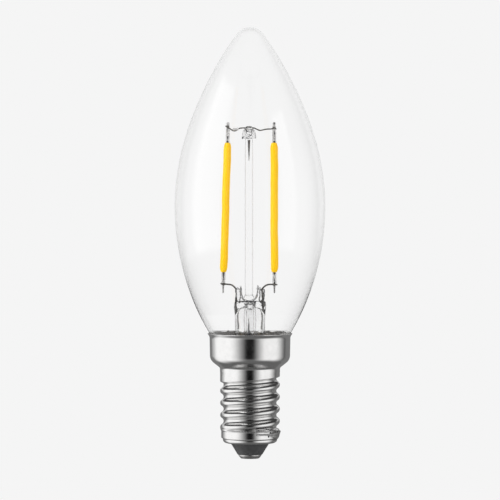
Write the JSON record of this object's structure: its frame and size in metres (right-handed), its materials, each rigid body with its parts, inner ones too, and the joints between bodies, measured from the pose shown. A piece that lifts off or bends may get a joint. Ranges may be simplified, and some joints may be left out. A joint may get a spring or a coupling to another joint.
{
  "type": "led filament bulb",
  "caption": "Clear candle-shaped LED filament bulb with upright yellow filaments on a glass stem and a small rolled screw cap.",
  "frame": {"origin": "middle of the flat of the centre contact at the lower end", "axes": "+Z along the bulb's axis from the cap to the glass tip, -Y is the front that shows both filaments side by side"},
  "size_m": [0.035, 0.035, 0.1001],
  "materials": {
    "bulb_glass": "clear blown glass",
    "stem_glass": "clear pressed glass",
    "dark_wire": "dull drawn wire",
    "ceramic_strip": "matt ceramic",
    "led_chip": "gloss chip",
    "phosphor": "satin yellow silicone",
    "tab_metal": "bright strip",
    "cap_metal": "bright nickel plate",
    "cement": "matt cement",
    "insulator": "satin dark glass",
    "contact_metal": "satin pressed metal",
    "tinned_wire": "tinned",
    "solder": "dull solder",
    "board": "coated board",
    "black_package": "moulded",
    "capacitor_can": "sleeved can",
    "resistor_body": "lacquered"
  },
  "bodies": {
    "root": {"glass_envelope": "bulb_glass", "stem_flare": "stem_glass", "exhaust_tube": "stem_glass", "stem_rod": "stem_glass", "anchor_pin": "dark_wire", "top_cross_wire": "dark_wire", "lead_wire_left": "dark_wire", "lead_wire_right": "dark_wire", "filament_strip_left": "ceramic_strip", "filament_strip_right": "ceramic_strip", "led_chips_left": "led_chip", "led_chips_right": "led_chip", "phosphor_coat_left": "phosphor", "phosphor_coat_right": "phosphor", "filament_tab_top_left": "tab_metal", "filament_tab_top_right": "tab_metal", "filament_tab_bottom_left": "tab_metal", "filament_tab_bottom_right": "tab_metal", "cap_shell": "cap_metal", "capping_cement": "cement", "cap_insulator": "insulator", "centre_contact": "contact_metal", "neutral_lead": "tinned_wire", "live_lead": "tinned_wire", "side_solder": "solder", "driver_board": "board", "bridge_rectifier": "black_package", "driver_chip": "black_package", "smoothing_capacitor": "capacitor_can", "fusible_resistor": "resistor_body"}
  },
  "joints": []
}
